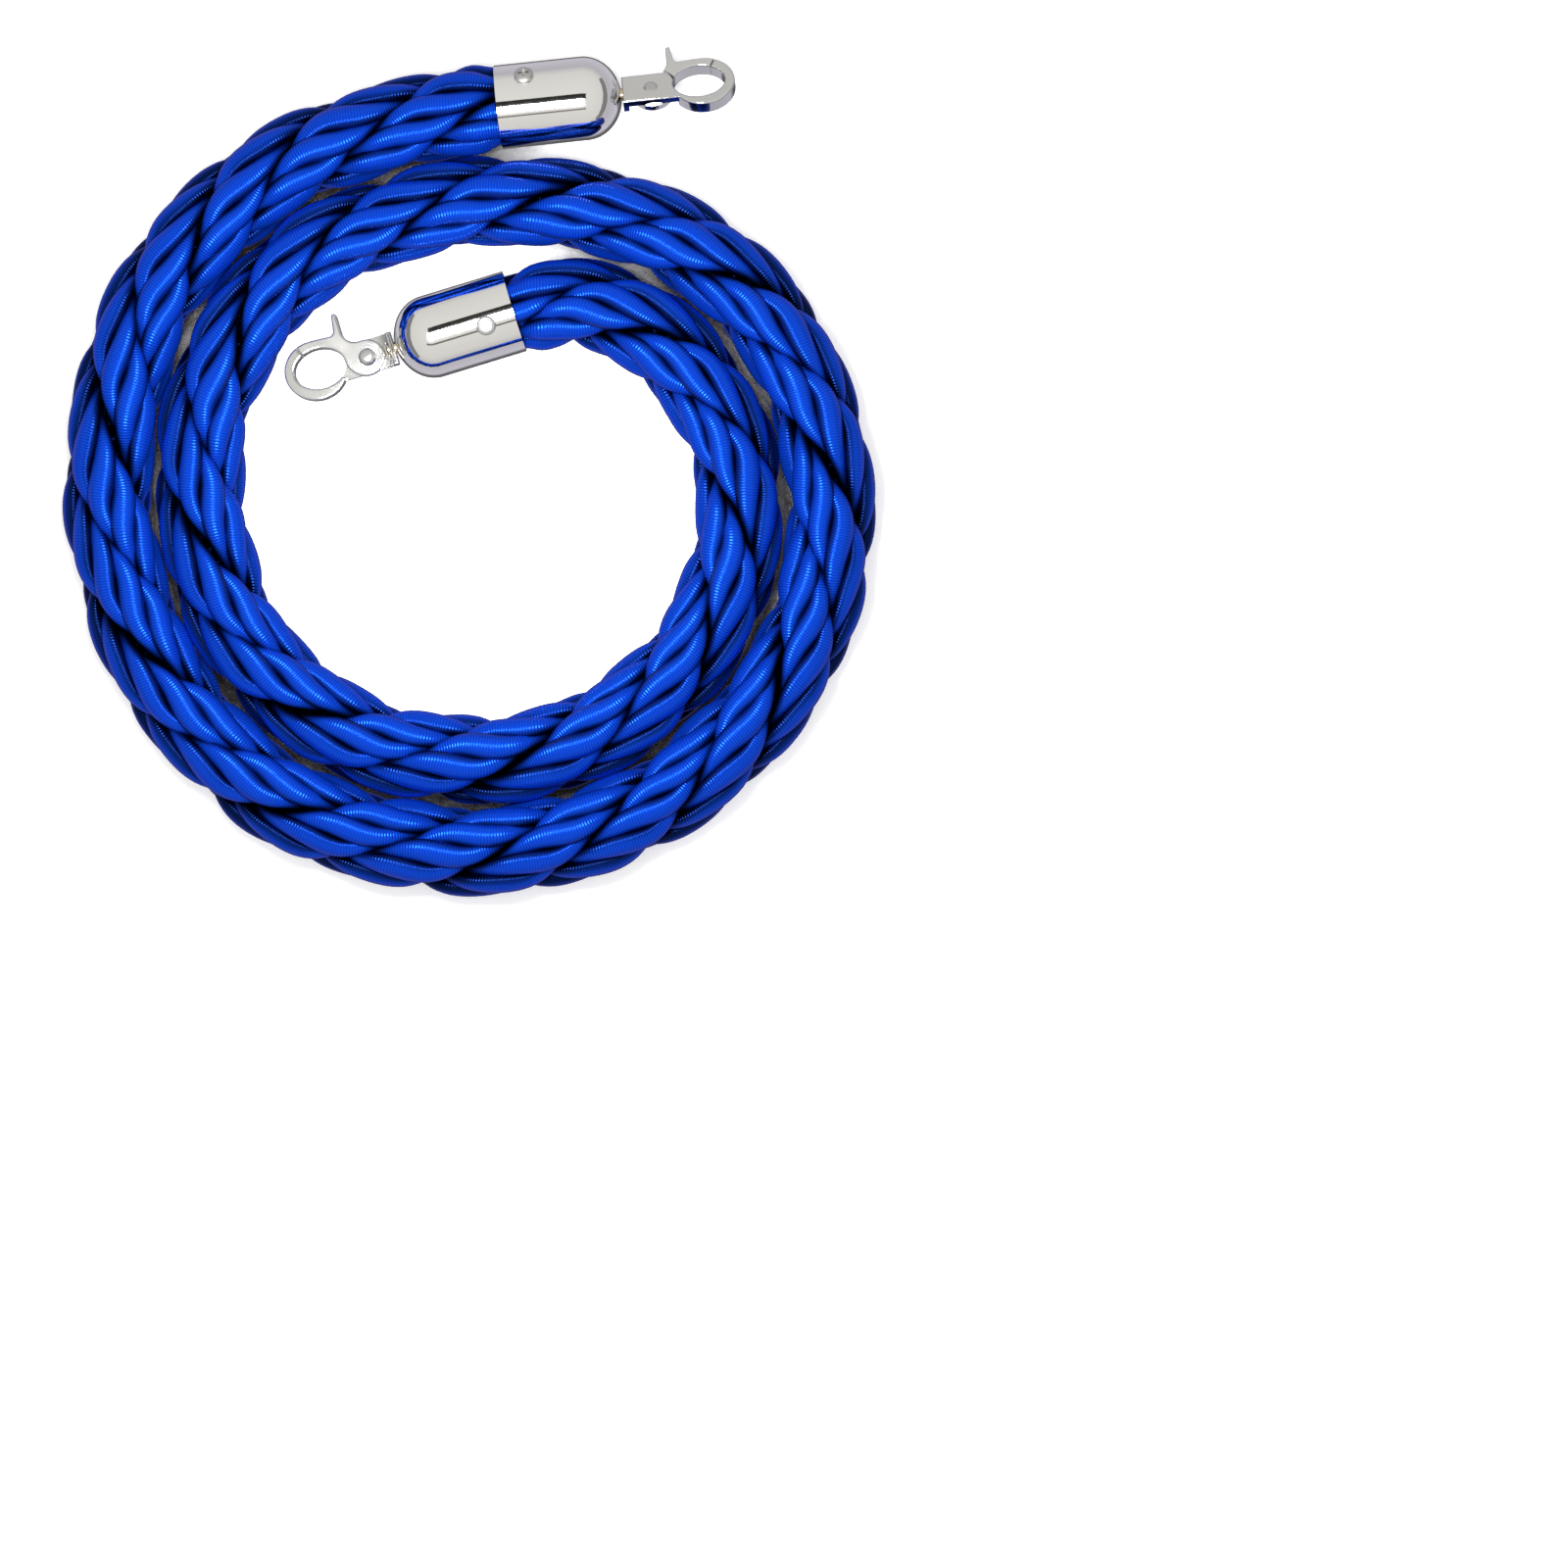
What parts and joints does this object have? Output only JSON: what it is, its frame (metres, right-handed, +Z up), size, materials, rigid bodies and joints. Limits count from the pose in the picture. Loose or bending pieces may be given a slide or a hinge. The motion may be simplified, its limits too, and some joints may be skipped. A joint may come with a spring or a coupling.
{
  "type": "barrier rope",
  "caption": "Twisted barrier rope lying in a flat coil, with a chrome end cap and a swivelling sprung trigger hook at each end.",
  "frame": {"origin": "on the surface the rope lies on, under the middle of the box round the two metal ends", "axes": "+X along the cap and hook of the outer end, +Z up from the surface"},
  "size_m": [0.3129, 0.3283, 0.0357],
  "materials": {
    "rope_fibre": "satin",
    "chrome_plate": "polished",
    "stud_brass": "polished",
    "plated_steel": "plain",
    "cloth_tape": "matt"
  },
  "bodies": {
    "rope_and_caps": {"rope": "rope_fibre", "end_cap_a": "chrome_plate", "rope_end_a": "rope_fibre", "end_tape_a": "cloth_tape", "cap_screws_a": "chrome_plate", "stud_washer_a": "plated_steel", "end_cap_b": "chrome_plate", "rope_end_b": "rope_fibre", "end_tape_b": "cloth_tape", "cap_screws_b": "chrome_plate", "stud_washer_b": "plated_steel"},
    "hook_a": {"swivel_stud_a": "stud_brass", "hook_body_a": "chrome_plate", "pivot_rivet_a": "chrome_plate", "trigger_spring_a": "plated_steel"},
    "trigger_a": {"trigger_jaw_a": "chrome_plate"},
    "hook_b": {"swivel_stud_b": "stud_brass", "hook_body_b": "chrome_plate", "pivot_rivet_b": "chrome_plate", "trigger_spring_b": "plated_steel"},
    "trigger_b": {"trigger_jaw_b": "chrome_plate"}
  },
  "joints": [
    {"name": "swivel_a", "type": "hinge", "parent": "rope_and_caps", "child": "hook_a", "pos_m": [-0.0047, 0.0448, 0.017], "axis": [0.9945, 0.1045, 0], "continuous": true},
    {"name": "trigger_a", "type": "hinge", "parent": "hook_a", "child": "trigger_a", "pos_m": [0.05413, 0.05047, 0.01732], "axis": [-0.0554, 0.527, 0.848], "range_deg": [0, 24], "stiffness_Nm_per_rad": 0.1, "springref_deg": -40.11, "deforming": ["trigger_spring_a"]},
    {"name": "swivel_b", "type": "hinge", "parent": "rope_and_caps", "child": "hook_b", "pos_m": [0.0015, -0.0338, 0.0179], "axis": [-0.9563, -0.2924, 0], "continuous": true},
    {"name": "trigger_b", "type": "hinge", "parent": "hook_b", "child": "trigger_b", "pos_m": [-0.05484, -0.05165, 0.0179], "axis": [0, 0, -1], "range_deg": [0, 24], "stiffness_Nm_per_rad": 0.1, "springref_deg": -40.11, "deforming": ["trigger_spring_b"]}
  ]
}
